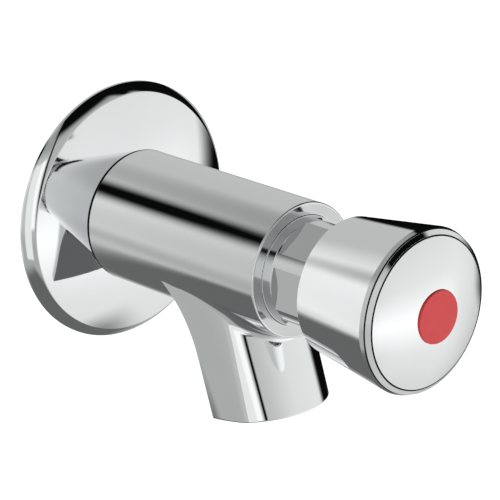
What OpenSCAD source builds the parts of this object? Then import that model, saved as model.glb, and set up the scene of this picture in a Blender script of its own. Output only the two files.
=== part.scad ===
// Wall-mounted push tap with a timed, self-closing valve.
// The origin is on the inlet axis at the wall face, the tap points along -Y and +Z is up.

/* [Wall flange] */
// Outer radius of the wall flange
flange_r = 31.7; // [28:0.1:40]
// Distance from the wall to the shoulder of the barrel
flange_depth = 6.1; // [5.5:0.1:8]
// Height of the straight edge at the rim
flange_edge = 0.8; // [0.5:0.1:1.2]
// Width of the bevel round the rim
flange_bevel = 2.2; // [1.5:0.1:3]
// Rise of the bevel round the rim
flange_bevel_rise = 2.5; // [2:0.1:3]
// Sheet thickness of the flange
flange_t = 1.2; // [0.8:0.1:1.4]
// Width of the gasket behind the rim
gasket_w = 2; // [1.5:0.1:4]
// Thickness of the gasket
gasket_t = 1.6; // [1:0.1:1.8]

/* [Body] */
// Radius of the barrel
body_r = 16; // [15:0.1:20]
// Length of the barrel in front of the flange
body_len = 56.3; // [52:0.1:70]
// Broken edge at the two ends of the barrel
body_edge = 0.35; // [0.2:0.05:0.6]
// Radius of the shank that passes through the flange
shank_r = 12.5; // [12:0.1:14]
// Distance from the wall to the rear end of the shank
shank_start = 1.5; // [1:0.1:3]
// Wall of the barrel round the bonnet thread
thread_wall = 3; // [2.5:0.1:4]
// Step from the bonnet thread down to the cartridge chamber
thread_step = 1; // [0.8:0.1:1.4]
// Length of the bonnet thread in the body
thread_len = 5.4; // [4:0.1:8]
// Radius of the throat between the inlet and the chamber
throat_r = 8.5; // [8:0.1:9.5]
// Depth of the gallery that collects water round the sleeve
gallery_depth = 1; // [0.6:0.1:1.4]

/* [Inlet] */
// Thread radius of the half-inch inlet tail
tail_r = 10.48; // [10.3:0.01:11]
// Length of the tail behind the wall face
tail_out = 14; // [13:0.5:20]
// Distance that the tail is screwed in past the wall face
tail_in = 14; // [10:0.5:15]
// Bore of the tail
tail_bore = 6.5; // [6:0.1:7]
// Radius of the pocket in the tail for the flow regulator
regulator_pocket_r = 7.9; // [7.5:0.1:8.2]
// Thickness of the flow regulator
regulator_t = 5; // [4:0.1:7]
// Radius of the pocket for the rim of the strainer
strainer_rim_r = 8; // [7.4:0.1:8.4]
// Thickness of the strainer's rim
strainer_rim_t = 1.4; // [1:0.1:2]

/* [Spout] */
// Radius of the round front of the spout
spout_r = 15.8; // [14.5:0.1:15.9]
// Distance from the wall to the spout's back edge at the outlet
spout_reach = 47.6; // [44:0.1:52]
// Depth of the back edge at the outlet below the inlet axis
spout_drop = 36.9; // [34:0.1:50]
// Forward lean of the round front, in degrees
spout_lean = 12; // [8:0.5:16]
// Forward lean of the back face, in degrees
back_lean = 16.5; // [14:0.5:20]
// Length of the flat part of the back face
back_flat = 15; // [10:0.5:20]
// Radius of the curve that carries the back face up to the barrel
back_curve = 32; // [24:1:45]
// Tilt of the outlet face, front edge higher, in degrees
outlet_tilt = 8; // [4:0.1:10]
// Distance from the back edge to the centre of the outlet
outlet_set = 7.8; // [7.4:0.1:8.2]
// Radius of the outlet socket
outlet_r = 5.6; // [5:0.1:5.9]
// Depth of the outlet socket
outlet_depth = 9; // [8:0.1:11]
// Radius of the waterway in the spout
waterway_r = 4.4; // [3.5:0.1:4.6]
// Lean of the waterway, in degrees
waterway_lean = 24; // [20:0.5:27]

/* [Cartridge] */
// Length of the sleeve
sleeve_len = 32.5; // [31:0.1:36]
// Length of the inlet chamber at the rear of the sleeve
seat_depth = 6; // [5:0.1:8]
// Radius of the valve seat opening
seat_r = 6; // [5:0.1:6.4]
// Thickness of the valve seat
seat_t = 3; // [2:0.1:4]
// Wall of the sleeve
sleeve_wall = 2.45; // [2.2:0.05:2.8]
// Length of the windows in the sleeve
window_len = 8.5; // [6:0.1:9]
// Width of each window
window_w = 6; // [4:0.1:7]
// Number of windows
window_count = 6; // [4:2:6]
// Distance from the front of the sleeve to its windows
window_set = 4; // [3.6:0.1:5]
// Section radius of the sealing rings
ring_sec = 0.75; // [0.6:0.05:0.8]

/* [Valve] */
// Radius of the valve disc and its washer
valve_r = 7.5; // [7:0.1:7.8]
// Thickness of the valve disc
valve_t = 2; // [1.5:0.1:3]
// Thickness of the seat washer
washer_t = 2; // [1.5:0.1:3]
// Thickness of the valve nut
nut_t = 2.5; // [2:0.1:3]
// Width of the valve nut across its flats
nut_flats = 7; // [6:0.1:8]
// Radius of the spindle
spindle_r = 3; // [2.8:0.1:3.4]
// Radius of the threaded end that carries the valve disc
stub_r = 2; // [1.6:0.1:2.2]

/* [Bonnet] */
// Distance that the bonnet stands in front of the barrel
bonnet_out = 19.6; // [18.5:0.1:24]
// Length of the plain spigot behind the thread
spigot_len = 4.5; // [4:0.1:6]
// Depth of the six wrench flats
flat_depth = 1; // [0.6:0.1:1.2]
// Distance from the barrel to the wrench flats
flat_start = 3; // [2:0.1:5]
// Wall of the bonnet behind the wrench flats
bonnet_wall = 2.5; // [2.2:0.1:3]
// Depth of the spring pocket in the front of the bonnet
pocket_depth = 5; // [4:0.1:6]
// Thickness of the wall between the spring pocket and the piston
bonnet_floor = 3; // [2.5:0.1:4]
// Outer radius of the spindle bush
bush_r = 5; // [4.6:0.1:5.4]
// Length of the spindle bush
bush_len = 4; // [3:0.1:4.5]
// Thickness of the spindle seal
seal_t = 1.8; // [1.4:0.1:2]

/* [Piston] */
// Thickness of the piston
piston_t = 5; // [4.5:0.1:6]
// Distance from the piston to the front of its chamber at rest
piston_set = 3; // [2.5:0.1:4]
// Depth of the groove for the cup seal
cup_depth = 2; // [1.5:0.1:2.5]
// Width of the cup seal
cup_w = 1.8; // [1.4:0.1:2.2]
// Wall of the piston on each side of the bleed jet
jet_wall = 0.175; // [0.15:0.025:0.4]
// Radius of the hole through the bleed jet
jet_bore = 0.35; // [0.25:0.05:0.5]
// Thickness of the circlip
clip_t = 1; // [0.8:0.1:1.2]

/* [Button] */
// Distance from the barrel to the rear edge of the button at rest
button_gap = 14; // [12.5:0.1:15]
// Travel of the button
press_travel = 7; // [5:0.1:8]
// Widening of the button from its rear edge to its front
button_widening = 3.1; // [2.5:0.1:5]
// Length of the flared side of the button
button_flare = 22.2; // [21:0.1:26]
// Length of the edge band in front of the flare
button_band = 1.2; // [0.8:0.1:2]
// Inward step of the edge band
button_band_in = 0.4; // [0.2:0.1:0.8]
// Radius of the sphere that domes the face
dome_r = 46; // [40:1:70]
// Distance from the rear edge to the top of the dome
button_len = 27.6; // [27.2:0.1:30]
// Wall of the button at its rear edge
button_wall = 1.5; // [1.2:0.1:1.8]
// Depth of the button's inside
button_inside = 19.6; // [19:0.1:21]
// Gap between the boss of the pressed button and the bonnet
boss_gap = 1.2; // [0.8:0.1:1.6]
// Radius of the boss
boss_r = 5.8; // [5:0.1:6.2]
// Radius of the indicator disc
disc_r = 6.1; // [5.6:0.1:7.5]
// Thickness of the indicator disc
disc_t = 1.45; // [1.2:0.05:1.8]
// Height of the disc above the face
disc_proud = 0.15; // [0.1:0.05:0.3]
// Wall of the glide ring that guides the button on the bonnet
glide_wall = 1.2; // [1:0.1:1.6]
// Length of the glide ring
glide_len = 3.5; // [2.5:0.1:4]
// Radius of the screw that holds the button
screw_r = 2; // [1.6:0.1:2.2]
// Radius of the screw's head
screw_head_r = 4; // [3.5:0.1:4.5]
// Thickness of the screw's head
screw_head_t = 2.6; // [2:0.1:2.8]

/* [Return spring] */
// Section radius of the spring wire
wire_r = 0.75; // [0.5:0.05:0.8]
// Number of turns between the closed ends
active_turns = 4; // [3:0.5:5]
// Space between the turns of a closed end
closed_gap = 0.5; // [0.45:0.05:0.6]

/* [Fits] */
// Radial clearance between seated pieces
fit = 0.05; // [0.03:0.01:0.1]
// Radial clearance of the spindle in its bush
run_fit = 0.06; // [0.03:0.01:0.1]
// Radial clearance of the pieces that slide freely
slide_gap = 0.25; // [0.15:0.05:0.3]
// Gap between the closed washer and its seat
seat_gap = 0.05; // [0.02:0.01:0.1]

/* [Hidden] */
$fn = 96;
through = 1;
front = flange_depth + body_len;
thread_start = front - thread_len;
sleeve_front = thread_start - spigot_len;
sleeve_rear = sleeve_front - sleeve_len;
seat_face = sleeve_rear + seat_depth;
seat_front = seat_face + seat_t;
window_end = sleeve_front - window_set;
window_start = window_end - window_len;

bonnet_r = body_r - thread_wall;
chamber_r = bonnet_r - thread_step;
sleeve_r = chamber_r - fit;
sleeve_bore = sleeve_r - sleeve_wall;
inlet_step = 0.5;
inlet_bore = sleeve_bore - inlet_step;
gallery_over = 0.5;
flat_r = bonnet_r - flat_depth;
piston_bore = flat_r - bonnet_wall;
bonnet_front = front + bonnet_out;
pocket_floor = bonnet_front - pocket_depth;
piston_stop = pocket_floor - bonnet_floor;
pocket_step = 0.2;
pocket_r = piston_bore + pocket_step;
hub_wall = 1.6;
hub_r = bush_r + hub_wall;

ring_groove = 2 * ring_sec + fit;
ring_side_gap = 0.25;
ring_mid = sleeve_r - ring_sec;
rear_ring_set = 4;
rear_ring_at = seat_front + rear_ring_set;
front_ring_set = 1.9;
front_ring_at = sleeve_front - front_ring_set;
bonnet_ring_at = sleeve_front + spigot_len / 2;

regulator_front = 0;
regulator_rear = regulator_front - regulator_t;
regulator_r = regulator_pocket_r - fit;
regulator_mid = (regulator_rear + regulator_front) / 2;
regulator_ring_sec = 0.6;
strainer_seat = strainer_rim_t - tail_out;
strainer_gap = 0.3;
strainer_r = tail_bore - strainer_gap;
strainer_clear = 1;
strainer_end = regulator_rear - strainer_clear;
strainer_t = 0.7;
tail_chamfer = 0.8;
tail_groove = [0.5, 1.7];
tail_groove_r = tail_r - 1.16;

washer_front = seat_face - seat_gap;
washer_rear = washer_front - washer_t;
disc_rear = washer_rear - valve_t;
nut_rear = disc_rear - nut_t;
stub_end = 1;
stub_rear = nut_rear - stub_end;

piston_front = piston_stop - piston_set;
piston_rear = piston_front - piston_t;
piston_r = piston_bore - slide_gap;
piston_mid = (piston_rear + piston_front) / 2;
collar_step = 1.5;
collar_r = spindle_r + collar_step;
collar_t = 1.5;
clip_groove_depth = 0.6;
clip_groove_r = spindle_r - clip_groove_depth;
cup_groove_r = piston_r - cup_depth;
jet_at = (cup_groove_r + collar_r) / 2;
jet_r = (cup_groove_r - collar_r) / 2 - jet_wall;
bush_rear = piston_stop;
seal_rear = bush_rear + bush_len + fit;
seal_front = seal_rear + seal_t + fit;

button_rear = front + button_gap;
flare_front = button_rear + button_flare;
band_front = flare_front + button_band;
dome_top = button_rear + button_len;
dome_centre = dome_top - dome_r;
button_ceiling = button_rear + button_inside;
boss_rear = bonnet_front + press_travel + boss_gap;
spindle_set = 1;
spindle_front = button_ceiling - spindle_set;
button_bore = bonnet_r + slide_gap + glide_wall + fit;
button_rear_r = button_bore + button_wall;
button_front_r = button_rear_r + button_widening;
face_bevel = 1.6;
inside_widening = 1.4;
inside_straight = 4;
glide_set = 0.6;
glide_rear = button_rear + glide_set;
face_at_disc = dome_centre + sqrt(dome_r * dome_r - disc_r * disc_r);
disc_seat = face_at_disc + disc_proud - disc_t;
screw_gap = 0.5;
screw_seat = disc_seat - screw_head_t - screw_gap;
tap_depth = 6;

spring_r = (hub_r + pocket_r) / 2;
closed_pitch = 2 * wire_r + closed_gap;
spring_len = button_ceiling - pocket_floor;
active_pitch = (spring_len - 2 * wire_r - 2 * closed_pitch) / active_turns;
spring_turns = active_turns + 2;
turn_rings = 16;
wire_sides = 8;
spring_end_gap = 0.02;

// Height of the wire's centre after a number of turns, with one closed turn at each end
function wire_height(turns) = wire_r + closed_pitch * min(turns, 1)
    + active_pitch * min(max(turns - 1, 0), active_turns)
    + closed_pitch * max(turns - 1 - active_turns, 0);

function wire_centre(turns) =
    [spring_r * cos(360 * turns), spring_r * sin(360 * turns), pocket_floor + wire_height(turns)];

function wire_ring(turns) = [for (s = [0:wire_sides - 1]) let (a = 360 * s / wire_sides,
    reach = spring_r + (wire_r - spring_end_gap) * cos(a))
    [reach * cos(360 * turns), reach * sin(360 * turns),
        pocket_floor + wire_height(turns) + (wire_r - spring_end_gap) * sin(a)]];

spring_rings = spring_turns * turn_rings;
wire_points = [for (i = [0:spring_rings]) wire_centre(i / turn_rings)];
near_turn = [turn_rings - 2:turn_rings + 2];
least_gap = min([for (i = [0:spring_rings - turn_rings - 2], step = near_turn)
    norm(wire_points[i] - wire_points[i + step]) - 2 * wire_r]);
echo(least_gap_between_turns = least_gap);

outlet_ring_h = outlet_depth * 0.45;
straightener_h = outlet_depth * 0.33;
mouth_set = 0.3;
mouth_wall = 0.9;
outlet_seal_w = 1.2;
waterway_lap = 2;
waterway_start = outlet_depth - waterway_lap;
waterway_z = outlet_set * sin(outlet_tilt) + waterway_start * cos(outlet_tilt) - spout_drop;
waterway_top = -0.7 * chamber_r;
waterway_len = (waterway_top - waterway_z) / cos(waterway_lean);

// Local +Z runs along the tap's axis, away from the wall
module along() {
    rotate([90, 0, 0]) children();
}

// A turned piece from points of radius and distance from the wall
module turned(profile) {
    along() rotate_extrude() polygon(profile);
}

module tube(outer, inner, start, end) {
    turned([[inner, start], [outer, start], [outer, end], [inner, end]]);
}

module rod(radius, start, end) {
    along() translate([0, 0, start]) cylinder(r = radius, h = end - start);
}

module ball(radius, centre) {
    along() translate([0, 0, centre]) sphere(r = radius, $fn = 192);
}

module sealing_ring(middle, section, at) {
    along() translate([0, 0, at]) rotate_extrude() translate([middle, 0]) circle(r = section, $fn = 32);
}

// The outlet's own frame: origin at the centre of the mouth, +Z up into the spout
module at_outlet() {
    translate([0, -spout_reach, -spout_drop])
        rotate([-outlet_tilt, 0, 0])
            translate([0, -outlet_set, 0])
                children();
}

module barrel() {
    turned([[0, flange_depth], [body_r - body_edge, flange_depth], [body_r, flange_depth + body_edge],
        [body_r, front - body_edge], [body_r - body_edge, front], [0, front]]);
    rod(shank_r, shank_start, flange_depth + through);
}

// A round column, cut by the outlet face and by a curved back
module spout() {
    column = spout_drop / cos(spout_lean);
    wide = 3 * spout_r;
    difference() {
        translate([0, -spout_reach, -spout_drop])
            rotate([-spout_lean, 0, 0])
                translate([0, 0, -spout_r])
                    cylinder(r = spout_r, h = column + spout_r - through);
        translate([0, -spout_reach, -spout_drop])
            rotate([-outlet_tilt, 0, 0])
                translate([-wide / 2, -wide, -wide])
                    cube([wide, 2 * wide, wide]);
        translate([0, -spout_reach, -spout_drop])
            rotate([-back_lean, 0, 0])
                spout_back(wide);
    }
}

module spout_back(wide) {
    translate([-wide / 2, 0, -wide])
        cube([wide, wide, wide + back_flat]);
    translate([-wide / 2, back_curve, back_flat])
        rotate([0, 90, 0])
            cylinder(r = back_curve, h = wide);
}

module body_waterways() {
    rod(tail_r + fit, shank_start - through, tail_in);
    rod(throat_r, tail_in - through, sleeve_rear + through);
    rod(chamber_r, sleeve_rear, thread_start + through);
    rod(chamber_r + gallery_depth, window_start - gallery_over, window_end + gallery_over);
    rod(bonnet_r + fit, thread_start, front + through);
    at_outlet() {
        translate([0, 0, -through])
            cylinder(r = outlet_r, h = outlet_depth + through);
        translate([0, 0, waterway_start])
            rotate([outlet_tilt - waterway_lean, 0, 0])
                cylinder(r = waterway_r, h = waterway_len);
    }
}

module tap_body() {
    color("silver") difference() {
        union() {
            barrel();
            spout();
        }
        body_waterways();
    }
}

// The domed face is part of a sphere through the top of the bevel and the foot of the barrel
module wall_flange() {
    bevel_r = flange_r - flange_bevel;
    bevel_top = flange_edge + flange_bevel_rise;
    rise = flange_depth - bevel_top;
    centre = (body_r * body_r + flange_depth * flange_depth - bevel_r * bevel_r - bevel_top * bevel_top)
        / (2 * rise);
    face_r = sqrt(body_r * body_r + pow(flange_depth - centre, 2));
    ledge_r = flange_r - flange_t;
    color("silver") difference() {
        intersection() {
            turned([[0, 0], [flange_r, 0], [flange_r, flange_edge], [bevel_r, bevel_top],
                [bevel_r, flange_depth], [0, flange_depth]]);
            ball(face_r, centre);
        }
        intersection() {
            rod(ledge_r - gasket_w - fit, -through, flange_depth + through);
            ball(face_r - flange_t, centre);
        }
        rod(ledge_r, -through, gasket_t);
        rod(shank_r + 2 * fit, -through, flange_depth + through);
    }
}

module flange_gasket() {
    outer = flange_r - flange_t - fit;
    color("dimgray") tube(outer, outer - gasket_w, 0, gasket_t);
}

module inlet_tail() {
    color("goldenrod") turned([[strainer_rim_r, -tail_out], [tail_r - tail_chamfer, -tail_out],
        [tail_r, tail_chamfer - tail_out], [tail_r, tail_groove[0]], [tail_groove_r, tail_groove[0]],
        [tail_groove_r, tail_groove[1]], [tail_r, tail_groove[1]], [tail_r, tail_in],
        [regulator_pocket_r, tail_in], [regulator_pocket_r, regulator_rear], [tail_bore, regulator_rear],
        [tail_bore, strainer_seat], [strainer_rim_r, strainer_seat]]);
}

module inlet_strainer() {
    hole_r = 0.55;
    rim_r = strainer_rim_r - fit;
    inner = strainer_r - strainer_t;
    rows = 3;
    row_step = (strainer_end - strainer_seat) / (rows + 1);
    row_shift = 0.3;
    end_step = inner / 2.6;
    color("lightgray") difference() {
        turned([[inner, -tail_out], [rim_r, -tail_out], [rim_r, strainer_seat], [strainer_r, strainer_seat],
            [strainer_r, strainer_end], [0, strainer_end], [0, strainer_end - strainer_t],
            [inner, strainer_end - strainer_t]]);
        for (row = [1:rows], a = [0:30:330])
            along() rotate([0, 0, a + 15 * row])
                translate([inner - hole_r, 0, strainer_seat + row * row_step - row_shift])
                    rotate([0, 90, 0])
                        cylinder(r = hole_r, h = strainer_t + 2 * through, $fn = 16);
        for (ring = [1:2], a = [0:60 / ring:359])
            along() rotate([0, 0, a])
                translate([ring * end_step, 0, strainer_end - strainer_t - through])
                    cylinder(r = hole_r, h = strainer_t + 2 * through, $fn = 16);
    }
}

module flow_regulator() {
    groove_r = regulator_r - 2 * regulator_ring_sec - fit;
    half = regulator_ring_sec + ring_side_gap;
    mid = regulator_mid;
    hole_r = 1.1;
    hole_circle = groove_r * 0.6;
    color("seagreen") difference() {
        turned([[0, regulator_rear], [regulator_r, regulator_rear], [regulator_r, mid - half],
            [groove_r, mid - half], [groove_r, mid + half], [regulator_r, mid + half],
            [regulator_r, regulator_front], [0, regulator_front]]);
        for (a = [0:60:300])
            along() rotate([0, 0, a])
                translate([hole_circle, 0, regulator_rear - through])
                    cylinder(r = hole_r, h = regulator_t + 2 * through, $fn = 24);
    }
}

module regulator_oring() {
    color("black") sealing_ring(regulator_r - regulator_ring_sec, regulator_ring_sec, regulator_mid);
}

// Two points of radius and distance for each side of a sealing ring's groove
function ring_groove_points(radius, at) = let (half = ring_sec + ring_side_gap, root = radius - ring_groove)
    [[radius, at - half], [root, at - half], [root, at + half], [radius, at + half]];

module cartridge_sleeve() {
    profile = concat([[inlet_bore, sleeve_rear], [sleeve_r, sleeve_rear]],
        ring_groove_points(sleeve_r, rear_ring_at),
        ring_groove_points(sleeve_r, front_ring_at),
        [[sleeve_r, sleeve_front], [sleeve_bore, sleeve_front], [sleeve_bore, seat_front],
            [seat_r, seat_front], [seat_r, seat_face], [inlet_bore, seat_face]]);
    color("burlywood") difference() {
        turned(profile);
        for (i = [0:window_count - 1])
            along() rotate([0, 0, 360 * i / window_count - 90])
                translate([0, -window_w / 2, window_start])
                    cube([sleeve_r + through, window_w, window_len]);
    }
}

module sleeve_rear_oring() {
    color("black") sealing_ring(ring_mid, ring_sec, rear_ring_at);
}

module sleeve_front_oring() {
    color("black") sealing_ring(ring_mid, ring_sec, front_ring_at);
}

module bonnet() {
    hex_r = flat_r / cos(30);
    profile = concat([[0, sleeve_front], [sleeve_r, sleeve_front]],
        ring_groove_points(sleeve_r, bonnet_ring_at),
        [[sleeve_r, thread_start], [bonnet_r, thread_start], [bonnet_r, bonnet_front], [0, bonnet_front]]);
    color("silver") difference() {
        turned(profile);
        difference() {
            rod(bonnet_r + through, front + flat_start, bonnet_front + through);
            along() rotate([0, 0, 30])
                cylinder(r = hex_r, h = bonnet_front + 2 * through, $fn = 6);
        }
        rod(piston_bore, sleeve_front - through, piston_stop);
        tube(pocket_r, hub_r, pocket_floor, bonnet_front + through);
        rod(bush_r + fit, piston_stop - through, seal_front);
        rod(spindle_r + slide_gap, seal_front - through, bonnet_front + through);
    }
}

module bonnet_oring() {
    color("black") sealing_ring(ring_mid, ring_sec, bonnet_ring_at);
}

module spindle_bush() {
    color("white") tube(bush_r, spindle_r + run_fit, bush_rear, bush_rear + bush_len);
}

module spindle_seal() {
    color("black") tube(bush_r - fit, spindle_r + run_fit, seal_rear, seal_rear + seal_t);
}

module return_spring() {
    points = [for (i = [0:spring_rings]) each wire_ring(i / turn_rings)];
    last = spring_rings * wire_sides;
    sides = [for (i = [0:spring_rings - 1], s = [0:wire_sides - 1], half = [0, 1])
        let (a = i * wire_sides + s, b = i * wire_sides + (s + 1) % wire_sides)
        half == 0 ? [a, b, a + wire_sides] : [b, b + wire_sides, a + wire_sides]];
    caps = [for (s = [1:wire_sides - 2], end = [0, 1])
        end == 0 ? [0, s + 1, s] : [last, last + s, last + s + 1]];
    color("lightgray") along() polyhedron(points, concat(sides, caps));
}

module outlet_ring() {
    color("silver") at_outlet() translate([0, 0, mouth_set]) difference() {
        cylinder(r = outlet_r - fit, h = outlet_ring_h - mouth_set);
        translate([0, 0, -through])
            cylinder(r = outlet_r - mouth_wall, h = outlet_ring_h + 2 * through);
    }
}

module flow_straightener() {
    hole_r = 0.62;
    ring_step = (outlet_r - outlet_seal_w) / 2.4;
    color("whitesmoke") at_outlet() translate([0, 0, outlet_ring_h]) difference() {
        cylinder(r = outlet_r - fit, h = straightener_h);
        translate([0, 0, -through])
            cylinder(r = hole_r, h = straightener_h + 2 * through, $fn = 24);
        for (ring = [1:2], a = [0:60 / ring:359])
            rotate([0, 0, a])
                translate([ring * ring_step, 0, -through])
                    cylinder(r = hole_r, h = straightener_h + 2 * through, $fn = 24);
    }
}

module outlet_seal() {
    base = outlet_ring_h + straightener_h;
    color("black") at_outlet() translate([0, 0, base]) difference() {
        cylinder(r = outlet_r - fit, h = outlet_depth - base);
        translate([0, 0, -through])
            cylinder(r = outlet_r - outlet_seal_w, h = outlet_depth + through);
    }
}

module push_button() {
    inner_front_r = button_bore + inside_widening;
    inside = [[0, button_rear - through], [button_bore, button_rear - through],
        [button_bore, glide_rear + glide_len + fit], [inner_front_r, button_ceiling - inside_straight],
        [inner_front_r, button_ceiling], [0, button_ceiling]];
    band_r = button_front_r - button_band_in;
    outside = [[0, button_rear], [button_rear_r, button_rear], [button_front_r, flare_front],
        [band_r, band_front], [band_r - face_bevel, dome_top], [0, dome_top]];
    color("silver") difference() {
        intersection() {
            turned(outside);
            ball(dome_r, dome_centre);
        }
        difference() {
            turned(inside);
            rod(boss_r, boss_rear, button_ceiling + through);
        }
        rod(spindle_r + fit, boss_rear - through, spindle_front);
        rod(screw_r + fit, spindle_front - through, screw_seat + through);
        rod(screw_head_r + slide_gap, screw_seat, disc_seat + through);
        rod(disc_r + fit, disc_seat, dome_top + through);
    }
}

module glide_ring() {
    color("white") tube(button_bore - fit, bonnet_r + slide_gap, glide_rear, glide_rear + glide_len);
}

module button_screw() {
    key_r = 1.75;
    key_floor = screw_seat + screw_head_t / 3;
    screw_end = spindle_front - tap_depth + screw_gap;
    color("lightgray") difference() {
        union() {
            rod(screw_r - fit, screw_end, screw_seat + through);
            rod(screw_head_r, screw_seat, screw_seat + screw_head_t);
        }
        along() translate([0, 0, key_floor])
            cylinder(r = key_r, h = screw_head_t, $fn = 6);
    }
}

module indicator_disc() {
    color("firebrick") intersection() {
        rod(disc_r, disc_seat, dome_top + through);
        ball(dome_r, dome_centre + disc_proud);
    }
}

module spindle() {
    color("lightgray") turned([[0, stub_rear], [stub_r, stub_rear], [stub_r, washer_front],
        [spindle_r, washer_front], [spindle_r, piston_rear - clip_t], [clip_groove_r, piston_rear - clip_t],
        [clip_groove_r, piston_rear], [spindle_r, piston_rear], [spindle_r, piston_front],
        [collar_r, piston_front], [collar_r, piston_front + collar_t], [spindle_r, piston_front + collar_t],
        [spindle_r, spindle_front], [screw_r, spindle_front], [screw_r, spindle_front - tap_depth],
        [0, spindle_front - tap_depth]]);
}

module piston() {
    low = piston_mid - cup_w / 2 - fit;
    high = piston_mid + cup_w / 2 + fit;
    bore = spindle_r + fit;
    color("whitesmoke") difference() {
        turned([[bore, piston_rear], [piston_r, piston_rear], [piston_r, low], [cup_groove_r, low],
            [cup_groove_r, high], [piston_r, high], [piston_r, piston_front], [bore, piston_front]]);
        along() translate([0, jet_at, piston_rear - through])
            cylinder(r = jet_r, h = piston_t + 2 * through, $fn = 32);
    }
}

module piston_cup_seal() {
    half = cup_w / 2;
    color("black") tube(piston_bore - run_fit, cup_groove_r + fit, piston_mid - half, piston_mid + half);
}

module bleed_jet() {
    color("goldenrod") along() translate([0, jet_at, piston_rear]) difference() {
        cylinder(r = jet_r - fit, h = piston_t, $fn = 32);
        translate([0, 0, -through])
            cylinder(r = jet_bore, h = piston_t + 2 * through, $fn = 24);
    }
}

module piston_circlip() {
    mouth = spindle_r * 1.2;
    color("lightgray") difference() {
        tube(collar_r, clip_groove_r + fit, piston_rear - clip_t, piston_rear);
        along() translate([-mouth / 2, 0, piston_rear - clip_t - through])
            cube([mouth, collar_r + through, clip_t + 2 * through]);
    }
}

module valve_disc() {
    color("goldenrod") tube(valve_r, stub_r + fit, disc_rear, washer_rear);
}

module seat_washer() {
    color("black") tube(valve_r, stub_r + fit, washer_rear, washer_front);
}

module valve_nut() {
    color("goldenrod") along() translate([0, 0, nut_rear]) difference() {
        cylinder(r = nut_flats / 2 / cos(30), h = nut_t, $fn = 6);
        translate([0, 0, -through])
            cylinder(r = stub_r + fit, h = nut_t + 2 * through);
    }
}

tap_body();
wall_flange();
flange_gasket();
inlet_tail();
inlet_strainer();
flow_regulator();
regulator_oring();
cartridge_sleeve();
sleeve_rear_oring();
sleeve_front_oring();
bonnet();
bonnet_oring();
spindle_bush();
spindle_seal();
return_spring();
outlet_ring();
flow_straightener();
outlet_seal();
push_button();
glide_ring();
button_screw();
indicator_disc();
spindle();
piston();
piston_cup_seal();
bleed_jet();
piston_circlip();
valve_disc();
seat_washer();
valve_nut();
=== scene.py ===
import math

import bpy
import numpy as np
from mathutils import Matrix, Vector


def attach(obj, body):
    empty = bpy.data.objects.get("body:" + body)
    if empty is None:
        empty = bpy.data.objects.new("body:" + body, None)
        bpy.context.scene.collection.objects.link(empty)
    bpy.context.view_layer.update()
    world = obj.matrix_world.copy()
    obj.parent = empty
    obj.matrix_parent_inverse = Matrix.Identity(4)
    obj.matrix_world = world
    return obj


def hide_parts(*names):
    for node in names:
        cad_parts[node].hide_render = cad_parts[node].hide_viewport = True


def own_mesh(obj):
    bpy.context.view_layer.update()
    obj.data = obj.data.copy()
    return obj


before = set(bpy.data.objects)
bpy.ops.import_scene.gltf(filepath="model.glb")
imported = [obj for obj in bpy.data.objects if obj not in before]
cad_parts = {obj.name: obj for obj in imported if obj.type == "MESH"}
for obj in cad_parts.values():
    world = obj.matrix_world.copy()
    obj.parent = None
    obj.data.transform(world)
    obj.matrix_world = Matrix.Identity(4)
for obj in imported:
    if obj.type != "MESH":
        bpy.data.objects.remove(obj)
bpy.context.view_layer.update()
scene = bpy.context.scene
mm = 0.001  # shapes below are worked out in millimetres
slack = 1e-6  # millimetres, for comparing places
print("frame loaded:", len(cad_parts), "nodes")

cameraLook = dict(azimuth=-43.15, elevation=20.63, roll=-1.7, distance=0.6027,
                  target=(-0.00467, -0.05, 0.00317), lens=190.03, sensor=36.0, clipStart=0.01)


def makeCamera(look):
    azimuth, elevation, roll = (math.radians(look[key]) for key in ("azimuth", "elevation", "roll"))
    back = Vector((math.sin(azimuth) * math.cos(elevation), -math.cos(azimuth) * math.cos(elevation),
                   math.sin(elevation)))
    level = Vector((math.cos(azimuth), math.sin(azimuth), 0))
    right = level * math.cos(roll) + back.cross(level) * math.sin(roll)
    data = bpy.data.cameras.new("tapCamera")
    data.lens = look["lens"]
    data.sensor_width = look["sensor"]
    data.clip_start = look["clipStart"]
    camera = bpy.data.objects.new("tapCamera", data)
    scene.collection.objects.link(camera)
    place = Matrix((right, back.cross(right), back)).transposed().to_4x4()
    place.translation = Vector(look["target"]) + back * look["distance"]
    camera.matrix_world = place
    scene.camera = camera


makeCamera(cameraLook)
print("camera set")

# a skin is made of grids of points with their exact surface normals, welded where they meet
weldDigits = 4


def newSkin():
    return dict(points=[], lookup={}, faces=[], normals=[], shades=[], shade=0)


def skinPoint(skin, place):
    key = tuple(round(float(value), weldDigits) + 0.0 for value in place)  # + 0.0 turns -0.0 into 0.0
    if key not in skin["lookup"]:
        skin["lookup"][key] = len(skin["points"])
        skin["points"].append(key)
    return skin["lookup"][key]


def gridQuads(grid):
    quads = np.stack([grid[:-1, :-1], grid[1:, :-1], grid[1:, 1:], grid[:-1, 1:]], 2)
    return quads.reshape(-1, 4, *grid.shape[2:])


def addGrid(skin, places, normals):
    places = np.asarray(places, float)
    normals = np.broadcast_to(np.asarray(normals, float), places.shape)
    rows, columns = places.shape[:2]
    index = np.array([[skinPoint(skin, places[r, c]) for c in range(columns)] for r in range(rows)])
    ids, corners, facing = gridQuads(index), gridQuads(places), gridQuads(normals)
    flat = np.cross(corners[:, 2] - corners[:, 0], corners[:, 3] - corners[:, 1])
    inward = np.einsum("ij,ij->i", flat, facing.sum(1)) < 0
    ids[inward] = ids[inward][:, ::-1]
    facing = facing.copy()
    facing[inward] = facing[inward][:, ::-1]
    for face, normal in zip(ids.tolist(), facing.tolist()):
        kept = [k for k in range(4) if face[k] not in face[:k]]  # a collapsed side makes a triangle
        if len(kept) > 2:
            skin["faces"].append([face[k] for k in kept])
            skin["shades"].append(skin["shade"])
            skin["normals"].extend(normal[k] for k in kept)


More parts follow.
